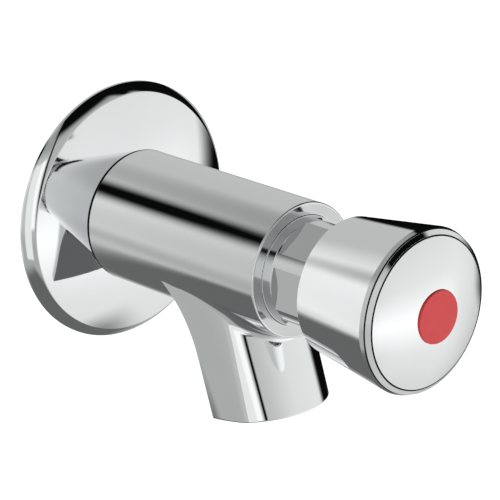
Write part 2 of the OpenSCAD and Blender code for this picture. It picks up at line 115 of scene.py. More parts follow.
def unit(vectors, least=1e-12):
    vectors = np.asarray(vectors, float)
    return vectors / np.maximum(np.linalg.norm(vectors, axis=-1, keepdims=True), least)


def makePiece(name, skin, materials, body, nodes):
    mesh = bpy.data.meshes.new(name)
    mesh.from_pydata([[value * mm for value in point] for point in skin["points"]], [], skin["faces"])
    mesh.polygons.foreach_set("use_smooth", [True] * len(mesh.polygons))
    mesh.normals_split_custom_set(skin["normals"])
    for finish in materials:  # in the order of the skin's shades
        mesh.materials.append(finishes[finish])
    mesh.polygons.foreach_set("material_index", skin["shades"])
    piece = bpy.data.objects.new(name, mesh)
    scene.collection.objects.link(piece)
    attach(piece, body)
    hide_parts(*nodes)
    print("made", name, "with", len(mesh.polygons), "faces")
    return piece


# turned shapes start from a closed profile of corners: radius, distance from the wall, rounding
def namedCorners(look, rows):  # a row without a third name has no rounding
    corners = []
    for radius, along, *rounding in rows:
        corners.append((look[radius], look[along], look[rounding[0]] if rounding else 0))
    return corners


def arcCorners(centre, radius, radii):
    return [(r, centre + math.sqrt(radius * radius - r * r), "smooth") for r in radii]


def bulgeCorners(first, last, turn, count):  # a shallow arc between two corners, turning by degrees
    first, last, half = np.array(first), np.array(last), math.radians(turn) / 2
    chord = last - first
    along = unit(chord)
    outward = np.array((along[1], -along[0]))
    radius = np.linalg.norm(chord) / 2 / math.sin(half)
    centre = (first + last) / 2 - outward * radius * math.cos(half)
    angles = np.linspace(-half, half, count + 2)[1:-1]
    arc = [centre + radius * (outward * math.cos(angle) + along * math.sin(angle)) for angle in angles]
    return [(spot[0], spot[1], "smooth") for spot in arc]


def roundProfile(corners, steps=6):
    spots = np.array([corner[:2] for corner in corners], float)
    following = np.roll(spots, -1, 0)
    area = np.sum(spots[:, 0] * following[:, 1] - following[:, 0] * spots[:, 1])
    sense = 1 if area > 0 else -1
    run = unit(following - spots)
    outward = np.stack([run[:, 1], -run[:, 0]], 1) * sense
    profile = []
    for i, corner in enumerate(corners):
        before, after = outward[i - 1], outward[i]
        if corner[2] == "smooth":
            both = unit(before + after)
            profile.append((spots[i], both, both))
        elif corner[2] == 0:
            profile.append((spots[i], before, after))
        else:
            profile.extend(roundCorner(spots[i], -run[i - 1], run[i], before, after, corner[2], steps))
    return profile


def roundCorner(spot, backward, forward, before, after, radius, steps):
    half = math.acos(max(-1, min(1, float(backward @ forward)))) / 2
    inside = unit(backward + forward)
    centre = spot + inside * radius / math.sin(half)
    side = 1 if inside @ (before + after) < 0 else -1  # a hollow corner curves the other way
    arc = []
    for step in range(steps + 1):
        normal = unit(before * (steps - step) + after * step)
        arc.append((centre + side * radius * normal, normal, normal))
    return arc


def fullTurn(turns):
    angle = np.linspace(-math.pi, math.pi, turns + 1)
    angle[-1] = angle[0]  # the seam welds
    return angle


def turnProfile(skin, profile, turns=192, leaveOut=None):
    angle = fullTurn(turns)
    sine, cosine = np.sin(angle), -np.cos(angle)

    def ring(radius, along):
        return np.stack([radius * sine, np.full(turns + 1, -along), radius * cosine], 1)

    for (first, _, start), (last, end, _) in zip(profile, profile[1:] + profile[:1]):
        onAxis = first[0] < slack and last[0] < slack
        if np.allclose(first, last) or onAxis or (leaveOut and leaveOut(first, last)):
            continue
        addGrid(skin, [ring(*first), ring(*last)], [ring(*start), ring(*end)])


# finishes: two colours in patches, a range of roughness, the grain's fineness and its height in metres
grainLook = dict(detail=3.0, patches=0.25, bumps=2, rampStart=0.3, rampEnd=0.7)
finishLooks = dict(
    polishedChrome=dict(dark=(0.85, 0.86, 0.875), light=(0.87, 0.88, 0.895), low=0.02, high=0.045, grain=260,
                        height=0.0000004, metallic=1.0),
    # the darker chrome below is painted shade, for faces turned to the front
    frontShadeChrome=dict(dark=(0.5, 0.505, 0.515), light=(0.54, 0.545, 0.555), low=0.05, high=0.09, grain=400,
                     height=0.0000004, metallic=1.0),
    castBrass=dict(dark=(0.55, 0.36, 0.13), light=(0.68, 0.47, 0.2), low=0.22, high=0.38, grain=700,
                   height=0.00002, metallic=1.0),
    springSteel=dict(dark=(0.46, 0.46, 0.46), light=(0.58, 0.58, 0.57), low=0.2, high=0.34, grain=900,
                     height=0.00001, metallic=1.0),
    blackRubber=dict(dark=(0.012, 0.012, 0.013), light=(0.03, 0.03, 0.03), low=0.5, high=0.75, grain=1500,
                     height=0.00003, specular=0.3),
    whiteAcetal=dict(dark=(0.68, 0.68, 0.65), light=(0.78, 0.78, 0.75), low=0.3, high=0.45, grain=1200,
                     height=0.00001),
    regulatorPlastic=dict(dark=(0.05, 0.22, 0.12), light=(0.07, 0.29, 0.16), low=0.3, high=0.45, grain=1200,
                          height=0.00001),
    # near black: painted shade at the barrel's rear seam and in the button's grooves
    paintedSeamShade=dict(dark=(0.004, 0.004, 0.004), light=(0.012, 0.012, 0.012), low=0.6, high=0.8, grain=900,
                   height=0.000005, specular=0.1),
    indicatorRed=dict(dark=(0.68, 0.044, 0.048), light=(0.72, 0.05, 0.054), low=0.27, high=0.32, grain=700,
                      height=0.000002, specular=0.4))


def newFinish(name):
    material = bpy.data.materials.new(name)
    material.use_nodes = True
    return material, material.node_tree, material.node_tree.nodes["Principled BSDF"]


def addNode(tree, kind, **values):
    node = tree.nodes.new(kind)
    for key, value in values.items():
        if hasattr(node, key):
            setattr(node, key, value)
        else:
            node.inputs[key].default_value = value
    return node


rangeSockets = dict(fromMin="From Min", fromMax="From Max", toMin="To Min", toMax="To Max")


def addRange(tree, source, kind="LINEAR", **ends):  # ends that aren't named stay at 0 and 1
    spread = addNode(tree, "ShaderNodeMapRange", interpolation_type=kind)
    for end, value in ends.items():
        spread.inputs[rangeSockets[end]].default_value = value
    tree.links.new(source, spread.inputs["Value"])
    return spread.outputs["Result"]


def unevenness(tree, scale):
    place = addNode(tree, "ShaderNodeTexCoord")
    noise = addNode(tree, "ShaderNodeTexNoise", Scale=scale, Detail=grainLook["detail"])
    tree.links.new(place.outputs["Object"], noise.inputs["Vector"])
    return noise.outputs["Fac"]


def varyColour(tree, shader, source, dark, light):
    ramp = addNode(tree, "ShaderNodeValToRGB")
    ends = ((grainLook["rampStart"], dark), (grainLook["rampEnd"], light))
    for element, (position, colour) in zip(ramp.color_ramp.elements, ends):
        element.position = position
        element.color = (*colour, 1)
    tree.links.new(source, ramp.inputs["Fac"])
    tree.links.new(ramp.outputs["Color"], shader.inputs["Base Color"])


def makeFinish(name, dark, light, low, high, grain, height, metallic=0.0, specular=0.5):
    material, tree, shader = newFinish(name)
    shader.inputs["Metallic"].default_value = metallic
    shader.inputs["Specular IOR Level"].default_value = specular
    varyColour(tree, shader, unevenness(tree, grain * grainLook["patches"]), dark, light)
    roughness = addRange(tree, unevenness(tree, grain), toMin=low, toMax=high)
    tree.links.new(roughness, shader.inputs["Roughness"])
    bump = addNode(tree, "ShaderNodeBump", Strength=1.0, Distance=height)
    tree.links.new(unevenness(tree, grain * grainLook["bumps"]), bump.inputs["Height"])
    tree.links.new(bump.outputs["Normal"], shader.inputs["Normal"])
    return material


# the bonnet's chrome gets painted shade: a darker colour where its faces turn to the front
paintedFrontShadeLook = dict(polished="polishedChrome", frontShade="frontShadeChrome", sideUpTo=-0.8, faceFrom=-0.95)


def chromeWithPaintedFrontShade(name, look):  # polished round the side, painted shade (a darker colour) on the faces turned to the front
    material = makeFinish(name, **finishLooks[look["polished"]])
    tree = material.node_tree
    shader = tree.nodes["Principled BSDF"]
    polished = shader.inputs["Base Color"].links[0].from_socket
    facing = addNode(tree, "ShaderNodeSeparateXYZ")
    tree.links.new(addNode(tree, "ShaderNodeNewGeometry").outputs["Normal"], facing.inputs["Vector"])
    share = addRange(tree, facing.outputs["Y"], fromMin=look["sideUpTo"], fromMax=look["faceFrom"])
    mix = addNode(tree, "ShaderNodeMix", data_type="RGBA")
    tree.links.new(share, mix.inputs["Factor"])
    tree.links.new(polished, mix.inputs[6])  # 6 and 7 are the node's two colours, 2 is the mixed one
    mix.inputs[7].default_value = (*finishLooks[look["frontShade"]]["light"], 1)
    tree.links.new(mix.outputs[2], shader.inputs["Base Color"])
    return material


finishes = {name: makeFinish(name, **look) for name, look in finishLooks.items()}
# bonnet chrome, with painted shade on its front-facing faces
finishes["bonnetChrome"] = chromeWithPaintedFrontShade("bonnetChrome", paintedFrontShadeLook)
print("finishes ready:", len(finishes))

# wall flange
flangeLook = dict(radius=31.7, edge=0.8, bevel=2.2, bevelRise=2.5, depth=6.1, sheet=1.2, hole=12.6, seat=16.0,
                  gasketDepth=1.6, gasketInner=28.45, footRound=0.1, edgeRound=0.3, bevelRound=0.9,
                  bevelTurn=19.0, bevelSteps=8, domeStart=1.2, domeEnd=0.3, domeSteps=24,
                  backStart=0.5, backEnd=0.3, backSteps=16)


def makeFlange(look):
    shoulder, hole, rim = look["radius"] - look["bevel"], look["hole"], look["gasketInner"]
    top = look["edge"] + look["bevelRise"]
    rise = look["depth"] - top
    centre = (look["seat"] ** 2 + look["depth"] ** 2 - shoulder ** 2 - top ** 2) / (2 * rise)
    ball = math.hypot(look["seat"], look["depth"] - centre)
    inner = ball - look["sheet"]
    ledge = look["radius"] - look["sheet"]
    domeRadii = np.linspace(shoulder - look["domeStart"], look["seat"] + look["domeEnd"], look["domeSteps"])
    backRadii = np.linspace(hole + look["backStart"], rim - look["backEnd"], look["backSteps"])
    corners = [(look["radius"], 0, look["footRound"]), (look["radius"], look["edge"], look["edgeRound"]),
               *bulgeCorners((look["radius"], look["edge"]), (shoulder, top), look["bevelTurn"],
                             look["bevelSteps"]),
               (shoulder, top, look["bevelRound"]), *arcCorners(centre, ball, domeRadii),
               (look["seat"], look["depth"], 0), (hole, look["depth"], 0),
               (hole, centre + math.sqrt(inner ** 2 - hole ** 2), 0), *arcCorners(centre, inner, backRadii),
               (rim, centre + math.sqrt(inner ** 2 - rim ** 2), 0), (rim, look["gasketDepth"], 0),
               (ledge, look["gasketDepth"], 0), (ledge, 0, 0)]
    skin = newSkin()
    turnProfile(skin, roundProfile(corners))
    shell = makePiece("wallFlangeShell", skin, ["polishedChrome"], "tap", ["wall_flange"])
    shell.visible_glossy = False  # the barrel mirrors the studio right up to the flange


makeFlange(flangeLook)

gasketLook = dict(inner=28.5, outer=30.45, wall=0, thick=1.6, edgeRound=0.25)


def makeGasket(look):
    corners = namedCorners(look, [("inner", "wall", "edgeRound"), ("outer", "wall", "edgeRound"),
                                  ("outer", "thick", "edgeRound"), ("inner", "thick", "edgeRound")])
    skin = newSkin()
    turnProfile(skin, roundProfile(corners))
    ring = makePiece("flangeGasketRing", skin, ["blackRubber"], "tap", ["flange_gasket"])
    ring.visible_glossy = False


makeGasket(gasketLook)

# body: barrel and spout in one skin
bodyLook = dict(radius=16.0, rear=6.1, front=62.4, rim=0.45, turns=240, sideSteps=20, barrelRows=26,
                barrelEase=1.2, shank=12.5, shankStart=1.5, tailBore=10.53, tailEnd=14.0, throat=8.5,
                chamber=12.0, chamberStart=20.0, gallery=13.0, galleryStart=39.5, galleryEnd=49.0,
                threadBore=13.05, threadStart=57.0, boreRound=0.2)
# millimetres, degrees for the leans and the tilt; the last two rows say how finely it is worked out
spoutLook = dict(radius=15.8, reach=47.6, drop=36.72, lean=19.5, tilt=8.0, backLean=18.0, backSet=1.5,
                 backFlat=15.0, backCurve=32.0, outletSet=7.8, outlet=5.6, outletDepth=9.0, lip=0.25,
                 flank=14.5, flankCurve=0.0166, flankRound=0.3, widen=0.0018, widenFull=16.0, widenEase=6.0,
                 blend=4.0, frontBlend=1.8, blendRise=(0.15, 0.5), blendFade=(0.86, 1.0),
                 edge=0.4, edgeFade=(0.75, 1.0), rows=44, blendSteps=8, edgeSteps=5,
                 longest=45.0, lengthSteps=900, halvings=50, angleRounds=8, mouthRounds=6, probe=0.001)


def smoothStep(low, high, value):
    t = np.clip((value - low) / (high - low), 0, 1)
    return t * t * (3 - 2 * t)


def tilted(degrees):
    angle = math.radians(degrees)
    return (np.array((0, math.sin(angle), math.cos(angle))), np.array((0, -math.cos(angle), math.sin(angle))))


class Spout:
    def __init__(self, look, barrelRadius):
        self.look, self.barrel, self.radius = look, barrelRadius, look["radius"]
        self.foot = np.array((0, -look["reach"], -look["drop"]))
        self.up, self.ahead = tilted(look["lean"])
        self.mouthUp, self.mouthAhead = tilted(look["tilt"])
        self.backUp, self.backIn = tilted(look["backLean"])
        self.lengths = np.linspace(0, look["longest"], look["lengthSteps"] + 1)
        offset = self.back(self.lengths)[0] - self.foot
        self.heights, self.depths = offset @ self.up, offset @ self.ahead
        self.cornerLength = float(self.topLength(np.ones(1))[0])
        self.cornerHeight = float(np.interp(self.cornerLength, self.lengths, self.heights))
        self.cornerAngle = float(self.edgeAngle(self.cornerHeight))

    def firstInside(self, inside, shape):  # by halving, the length from which each point is in the barrel
        low, high = np.zeros_like(shape), np.full_like(shape, self.look["longest"])
        for _ in range(self.look["halvings"]):
            middle = (low + high) / 2
            within = inside(middle)
            low, high = np.where(within, low, middle), np.where(within, middle, high)
        return (low + high) / 2

    def back(self, s):  # points of the back face's middle line, and the outward normals there
        flat, curve = self.look["backFlat"], self.look["backCurve"]
        bend = (np.maximum(np.asarray(s) - flat, 0) / curve)[..., None]
        outward = -np.cos(bend) * self.backIn - np.sin(bend) * self.backUp
        foot = self.foot - self.look["backSet"] * self.mouthAhead
        centre = foot + np.minimum(s, flat)[..., None] * self.backUp - curve * self.backIn
        return centre - curve * outward, outward

    def growth(self, height):  # the section grows from the mouth up, then holds its size
        ease = self.look["widenEase"]
        over = np.maximum(height - self.look["widenFull"], 0)
        return 1 + self.look["widen"] * (height - over + ease * (1 - np.exp(-over / ease)))

    def edgeAngle(self, height):  # where a flank meets the back face
        return np.arctan2(self.look["flank"], np.interp(height, self.heights, self.depths))

    def topLength(self, share):  # lengths of the back face up to the barrel, at shares of its width
        def inside(length):
            return (share * self.look["flank"]) ** 2 + self.back(length)[0][:, 2] ** 2 < self.barrel ** 2

        return self.firstInside(inside, share)

    def point(self, angle, height):  # the round front between two flanks that curve in to meet it
        look, sine, cosine = self.look, np.sin(angle), np.cos(angle)
        curve = 4 * look["flankCurve"] * look["flank"] * np.maximum(cosine, 0) ** 2
        flat = 2 * look["flank"] / (np.abs(sine) + np.sqrt(sine ** 2 + curve))
        curved = self.radius * self.growth(height)
        nearby = np.maximum(look["flankRound"] - np.abs(curved - flat), 0) ** 2 / (4 * look["flankRound"])
        reach = np.where(cosine > 0, np.minimum(curved, flat) - nearby, flat)
        section = (reach * cosine)[..., None] * self.ahead + (reach * sine)[..., None] * np.array((1.0, 0, 0))
        return self.foot + height[..., None] * self.up + section

    def normal(self, angle, height):
        step = self.look["probe"]
        turn = self.point(angle + step, height) - self.point(angle - step, height)
        rise = self.point(angle, height + step) - self.point(angle, height - step)
        return unit(np.cross(turn, rise))

    def blend(self, angle):  # the ball that rolls along barrel and spout: its centre, height and radius
        look, share = self.look, np.abs(angle) / self.cornerAngle
        rise, fade = (smoothStep(*look[key], share) for key in ("blendRise", "blendFade"))
        ball = (look["frontBlend"] + (look["blend"] - look["frontBlend"]) * rise) * (1 - fade)

        def centre(height):
            return self.point(angle, height) + ball[:, None] * self.normal(angle, height)

        def inside(height):
            middle = centre(height)
            return np.hypot(middle[:, 0], middle[:, 2]) < self.barrel + ball

        height = self.firstInside(inside, angle)
        return centre(height), height, ball

    def topAngles(self, spread):
        angle = spread * self.cornerAngle
        for _ in range(self.look["angleRounds"]):
            angle = spread * self.edgeAngle(self.blend(angle)[1])
        return angle

    def bottomHeights(self, angle):
        height, slope = np.zeros_like(angle), self.up @ self.mouthUp
        for _ in range(self.look["mouthRounds"]):
            height = height - (self.point(angle, height) - self.foot) @ self.mouthUp / slope
        return height


def bezierStrip(first, corner, last, firstNormal, lastNormal, steps):
    places, normals = [], []
    for t in np.linspace(0, 1, steps + 1):
        places.append((1 - t) ** 2 * first + 2 * t * (1 - t) * corner + t * t * last)
        normals.append(unit((1 - t) * firstNormal + t * lastNormal))
    return np.array(places), np.array(normals)


def spoutWalls(spout, count):
    look, rows = spout.look, spout.look["rows"]
    lengths = np.linspace(0, spout.cornerLength, rows + 1)
    heights = np.interp(lengths, spout.lengths, spout.heights)
    shares = (heights - heights[0]) / (spout.cornerHeight - heights[0])
    edges = look["edge"] * (1 - smoothStep(*look["edgeFade"], np.linspace(0, 1, rows + 1)))
    spread = np.linspace(-1, 1, count + 1)
    tops = spout.topAngles(spread)
    low = spout.bottomHeights(spread * (spout.edgeAngle(heights[0]) - look["edge"] / spout.radius))
    high = spout.blend(tops)[1]
    backTops = spout.topLength(np.abs(spread))
    width = np.array((look["flank"], 0, 0))
    front, frontNormals, flat, flatNormals, strips = [], [], [], [], []
    for j in range(rows + 1):
        height = low + (high - low) * shares[j]
        angle = spread * (spout.edgeAngle(height) - edges[j] / spout.radius)
        front.append(spout.point(angle, height))
        frontNormals.append(spout.normal(angle, height))
        middle, outward = spout.back(backTops * j / rows)
        middle[:, 0] = spread * (look["flank"] - edges[j])
        flat.append(middle)
        flatNormals.append(outward)
        corner = spout.back(lengths[j:j + 1])[0][0]
        strips.append([bezierStrip(front[j][k], corner + side * width, flat[j][k], frontNormals[j][k],
                                   flatNormals[j][k], look["edgeSteps"]) for side, k in ((-1, 0), (1, -1))])
    left, leftNormals = (np.array([strip[0][k] for strip in strips]) for k in (0, 1))
    right, rightNormals = (np.array([strip[1][k] for strip in strips]) for k in (0, 1))
    flat, flatNormals = np.array(flat), np.array(flatNormals)
    places = np.concatenate([front, right[:, 1:], flat[:, -2::-1], left[:, -2::-1]], 1)
    normals = np.concatenate([frontNormals, rightNormals[:, 1:], flatNormals[:, -2::-1],
                              leftNormals[:, -2::-1]], 1)
    return places, normals, flat, tops


def addMouth(skin, spout, places, normals):
    look, edge = spout.look, spout.look["edge"]
    rim = places[0]
    raised = rim + unit(places[1] - places[0]) * edge  # the walls stop short of the rounded rim
    flatInward = normals[0] - (normals[0] @ spout.mouthUp)[:, None] * spout.mouthUp
    inset = rim - unit(flatInward) * edge
    rounded = [bezierStrip(raised[i], rim[i], inset[i], normals[0, i], -spout.mouthUp, look["edgeSteps"])
               for i in range(len(rim))]
    addGrid(skin, np.array([strip[0] for strip in rounded]), np.array([strip[1] for strip in rounded]))
    places[0] = raised
    centre = spout.foot + look["outletSet"] * spout.mouthAhead
    ray = unit(inset - centre)
    lip, bore = centre + ray * (look["outlet"] + look["lip"]), centre + ray * look["outlet"]
    addGrid(skin, [inset, lip], -spout.mouthUp)
    addGrid(skin, [lip, bore + look["lip"] * spout.mouthUp], unit(-ray - spout.mouthUp)[None])
    ceiling = bore + look["outletDepth"] * spout.mouthUp
    addGrid(skin, [bore + look["lip"] * spout.mouthUp, ceiling], -ray[None])
    middle = np.broadcast_to(centre + look["outletDepth"] * spout.mouthUp, ceiling.shape)
    addGrid(skin, [ceiling, middle], -spout.mouthUp)


def addBlend(skin, spout, tops):
    centre, height, ball = spout.blend(tops)
    fromSpout = spout.normal(tops, height)
    fromBarrel = unit(centre * np.array((1.0, 0, 1.0)))
    share = np.linspace(0, 1, spout.look["blendSteps"] + 1)[:, None, None]
    normals = unit((1 - share) * fromSpout + share * fromBarrel)
    places = centre - ball[:, None] * normals
    places[0] = spout.point(tops, height)
    addGrid(skin, places, normals)
    print("blend reaches", round(float(-places[-1, :, 1].min()), 2), "mm from the wall")
    return places[-1]


def addBarrel(skin, look, front, back):
    hole = np.concatenate([front, back[::-1][1:]])  # round the spout, from one back corner and home again
    unrolled = np.stack([look["radius"] * np.arctan2(hole[:, 0], -hole[:, 2]), -hole[:, 1]], 1)
    girth = math.pi * look["radius"]
    near, far = look["rear"] + look["rim"], look["front"] - look["rim"]
    middle, steps, turns = unrolled[0, 1], look["sideSteps"], look["turns"]
    across = np.linspace(-girth, girth, turns + 1)
    ahead, behind = np.linspace(middle, far, steps + 1), np.linspace(middle, near, steps + 1)
    outer = [(-girth, d) for d in ahead[:-1]] + [(a, far) for a in across]
    outer += [(girth, d) for d in ahead[-2::-1]] + [(girth, d) for d in behind[1:-1]]
    outer += [(a, near) for a in across[::-1]] + [(-girth, d) for d in behind[-2::-1]]
    outer = np.array(outer)
    share = np.linspace(0, 1, look["barrelRows"] + 1)[:, None, None] ** look["barrelEase"]
    spread = unrolled[None] * (1 - share) + outer[None] * share
    angle = spread[..., 0] / look["radius"]
    angle[np.isclose(angle, math.pi)] = -math.pi  # the seam welds
    normals = np.stack([np.sin(angle), np.zeros_like(angle), -np.cos(angle)], -1)
    places = normals * look["radius"]
    places[..., 1] = -spread[..., 1]
    places[0] = hole
    addGrid(skin, places, normals)


def makeBody(look, spoutSettings):
    spout = Spout(spoutSettings, look["radius"])
    skin = newSkin()
    count = look["turns"] + 2 * look["sideSteps"]
    places, normals, flat, tops = spoutWalls(spout, count)
    addMouth(skin, spout, places, normals)
    addGrid(skin, places, normals)
    addBarrel(skin, look, addBlend(skin, spout, tops), flat[-1])
    corners = namedCorners(look, [
        ("radius", "front", "rim"), ("threadBore", "front", "boreRound"), ("threadBore", "threadStart"),
        ("chamber", "threadStart"), ("chamber", "galleryEnd"), ("gallery", "galleryEnd"),
        ("gallery", "galleryStart"), ("chamber", "galleryStart"), ("chamber", "chamberStart"),
        ("throat", "chamberStart"), ("throat", "tailEnd"), ("tailBore", "tailEnd"),
        ("tailBore", "shankStart"), ("shank", "shankStart"), ("shank", "rear"), ("radius", "rear", "rim")])
    barrel, brink = look["radius"] - slack, look["front"] - slack

    def alongBarrel(first, last):
        return first[0] > barrel and last[0] > barrel

    def onFront(first, last):
        return first[1] > brink and last[1] > brink

    def atSeam(first, last):
        outside = min(first[0], last[0]) > barrel - look["rim"]
        return outside and max(first[1], last[1]) < look["rear"] + look["rim"] + slack

    def plain(first, last):
        return not (alongBarrel(first, last) or onFront(first, last) or atSeam(first, last))

    profile = roundProfile(corners)
    # shade 1, the front ring, takes the darker chrome: painted shade
    # shade 2, the barrel's rear rim at the seam, takes near black: painted shade
    for shade, chosen in enumerate((plain, onFront, atSeam)):
        skin["shade"] = shade
        turnProfile(skin, profile, look["turns"], lambda first, last: not chosen(first, last))
    makePiece("tapBodyShell", skin, ["polishedChrome", "frontShadeChrome", "paintedSeamShade"], "tap", ["tap_body"])


makeBody(bodyLook, spoutLook)

# push button and its disc
buttonLook = dict(rear=76.4, rearRadius=16.0, flareEnd=98.6, frontRadius=19.1, bandEnd=99.8, bandIn=0.4,
                  domeRadius=46.0, domeTop=104.0, domeStart=0.6, domeEnd=0.3, domeSteps=28, bevelIn=1.45,
                  bore=14.5, innerFront=15.9, innerStraight=92.0, ceiling=96.0, glideEnd=80.55, boss=5.8,
                  bossRear=90.2, spindleBore=3.05, spindleEnd=95.0, screwBore=2.05, screwSeat=99.19,
                  headBore=4.25, discSeat=102.29, discBore=6.15, boreRound=0.2, rearRound=0.35,
                  edgeRound=0.45, discRound=0.06, spindleRound=0.15, bossRound=0.3, bossFillet=0.4,
                  wallFillet=0.6, groove=0.2, grooveWidth=0.34, grooveLip=0.08, grooveBed=0.03,
                  grooveBrink=0.1, grooveSlack=0.02, bandProud=0.05, brinkDrop=0.14)


def makeButton(look):
    centre = look["domeTop"] - look["domeRadius"]
    band, bandEnd = look["frontRadius"] - look["bandIn"], look["bandEnd"]
    brink = band - look["bevelIn"]
    deep, wide, near = look["groove"], look["grooveWidth"], look["grooveSlack"]
    height, rimHeight = (centre + math.sqrt(look["domeRadius"] ** 2 - radius ** 2)
                         for radius in (brink, look["discBore"]))
    domeRadii = np.linspace(brink - look["domeStart"], look["discBore"] + look["domeEnd"], look["domeSteps"])
    corners = namedCorners(look, [("bore", "rear", "boreRound"), ("rearRadius", "rear", "rearRound"),
                                  ("frontRadius", "flareEnd", "edgeRound")])
    corners += [(band + look["bandProud"], bandEnd - wide, look["grooveLip"]),
                (band - deep, bandEnd - wide / 2, look["grooveBed"]), (band, bandEnd, look["grooveBrink"]),
                (brink + wide, height - look["brinkDrop"], look["grooveLip"]),
                (brink + wide / 2, height - deep, look["grooveBed"]), (brink, height, look["grooveBrink"]),
                *arcCorners(centre, look["domeRadius"], domeRadii),
                (look["discBore"], rimHeight, look["discRound"])]
    corners += namedCorners(look, [
        ("discBore", "discSeat"), ("headBore", "discSeat"), ("headBore", "screwSeat"),
        ("screwBore", "screwSeat"), ("screwBore", "spindleEnd"), ("spindleBore", "spindleEnd"),
        ("spindleBore", "bossRear", "spindleRound"), ("boss", "bossRear", "bossRound"),
        ("boss", "ceiling", "bossFillet"), ("innerFront", "ceiling", "wallFillet"),
        ("innerFront", "innerStraight"), ("bore", "glideEnd")])

    def inGroove(first, last):
        (innermost, rearmost), (outermost, foremost) = np.minimum(first, last), np.maximum(first, last)
        outer = rearmost > bandEnd - wide - near and foremost < bandEnd + near and first[0] > brink + 2 * wide
        return outer or (innermost > brink - near and outermost < brink + wide + near)

    skin = newSkin()
    profile = roundProfile(corners)
    turnProfile(skin, profile, leaveOut=inGroove)
    # groove faces take the near black finish: painted shade in the grooves
    skin["shade"] = 1
    turnProfile(skin, profile, leaveOut=lambda first, last: not inGroove(first, last))
    makePiece("pushButtonShell", skin, ["polishedChrome", "paintedSeamShade"], "button", ["push_button"])


makeButton(buttonLook)

discLook = dict(radius=6.1, seat=102.29, domeRadius=250.0, domeCentre=-145.85, seatRound=0.1, edgeRound=0.22,
                domeStart=0.5, domeEnd=0.4, domeSteps=12)


def makeDisc(look):
    brink = look["domeCentre"] + math.sqrt(look["domeRadius"] ** 2 - look["radius"] ** 2)
    domeRadii = np.linspace(look["radius"] - look["domeStart"], look["domeEnd"], look["domeSteps"])
    corners = [(0, look["seat"], 0), (look["radius"], look["seat"], look["seatRound"]),
               (look["radius"], brink, look["edgeRound"]),
               *arcCorners(look["domeCentre"], look["domeRadius"], domeRadii),
               (0, look["domeCentre"] + look["domeRadius"], 0)]
    skin = newSkin()
    turnProfile(skin, roundProfile(corners))
    makePiece("indicatorDiscLens", skin, ["indicatorRed"], "button", ["indicator_disc"])


makeDisc(discLook)

# threaded inlet tail
tailLook = dict(radius=10.48, rear=-14.0, chamfer=0.8, threadEnd=0.5, grooveEnd=1.7, front=14.0, pocket=7.9,
                pocketRear=-5.0, bore=6.5, strainerRim=8.0, strainerSeat=-12.6, seatRound=0.1, rearRound=0.15,
                pitch=1.814, threadDepth=1.16, runOut=0.9, turns=120, pitchRows=12)


def addThread(skin, look, start):
    end, depth = look["threadEnd"], look["threadDepth"]
    count = math.ceil((end - start) / look["pitch"] * look["pitchRows"])
    along, angle = np.linspace(start, end, count + 1)[:, None], fullTurn(look["turns"])
    fade = smoothStep(0, look["runOut"], along - start) * smoothStep(0, look["runOut"], end - along)
    phase = 2 * math.pi * along / look["pitch"] - angle
    reach = look["radius"] - depth * fade * (1 - np.cos(phase)) / 2
    slope = -depth * fade * np.sin(phase) / 2
    level = np.zeros_like(reach)
    sine, cosine = np.sin(angle) + level, -np.cos(angle) + level
    normals = np.stack([sine, level, cosine], -1)
    normals += (slope / reach)[..., None] * np.stack([-cosine, level, sine], -1)
    normals[..., 1] += slope * 2 * math.pi / look["pitch"]
    addGrid(skin, np.stack([reach * sine, level - along, reach * cosine], -1), unit(normals))


def makeTail(look):
    radius, start = look["radius"], look["rear"] + look["chamfer"]
    root = radius - look["threadDepth"]
    corners = [(look["strainerRim"], look["rear"], look["seatRound"]),
               (radius - look["chamfer"], look["rear"], look["rearRound"]), (radius, start, 0),
               (radius, look["threadEnd"], 0), (root, look["threadEnd"], 0), (root, look["grooveEnd"], 0)]
    corners += namedCorners(look, [
        ("radius", "grooveEnd"), ("radius", "front"), ("pocket", "front"), ("pocket", "pocketRear"),
        ("bore", "pocketRear"), ("bore", "strainerSeat"), ("strainerRim", "strainerSeat")])

    def alongThread(first, last):
        return min(first[0], last[0]) > radius - slack and max(first[1], last[1]) < look["grooveEnd"]

    skin = newSkin()
    turnProfile(skin, roundProfile(corners), look["turns"], alongThread)
    addThread(skin, look, start)
    makePiece("inletTailThread", skin, ["castBrass"], "tap", ["inlet_tail"])


makeTail(tailLook)

# return spring, which shortens as the button is pressed; built here at rest
springLook = dict(radius=8.15, wire=0.73, gap=0.02, rear=77.0, front=96.0, turns=6, closedPitch=1.6,
                  turnSteps=40, wireSteps=14, pressed=12.0)


def makeSpring(look):
    wire, closed, turns = look["wire"], look["closedPitch"], look["turns"]
    rear, front = look["rear"] + wire + look["gap"], look["front"] - wire - look["gap"]
    turn = np.linspace(0, turns, turns * look["turnSteps"] + 1)
    along = np.interp(turn, (0, 1, turns - 1, turns), (rear, rear + closed, front - closed, front))
    angle, level = 2 * math.pi * turn, np.zeros_like(turn)
    outward = np.stack([np.sin(angle), level, np.cos(angle)], 1)
    middle = look["radius"] * outward - np.stack([level, along, level], 1)
    ahead = unit(np.gradient(middle, axis=0))
    side = np.cross(ahead, outward)
    about = np.linspace(0, 2 * math.pi, look["wireSteps"] + 1)
    about[-1] = 0  # the seam welds
    normals = np.cos(about)[None, :, None] * outward[:, None] + np.sin(about)[None, :, None] * side[:, None]
    places = middle[:, None] + wire * normals
    skin = newSkin()
    addGrid(skin, places, normals)
    for end, sense in ((0, -1), (-1, 1)):
        addGrid(skin, [places[end], np.broadcast_to(middle[end], places[end].shape)], sense * ahead[end])
    spring = makePiece("returnSpringCoil", skin, ["springSteel"], "tap", ["return_spring"])
    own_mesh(spring)


makeSpring(springLook)

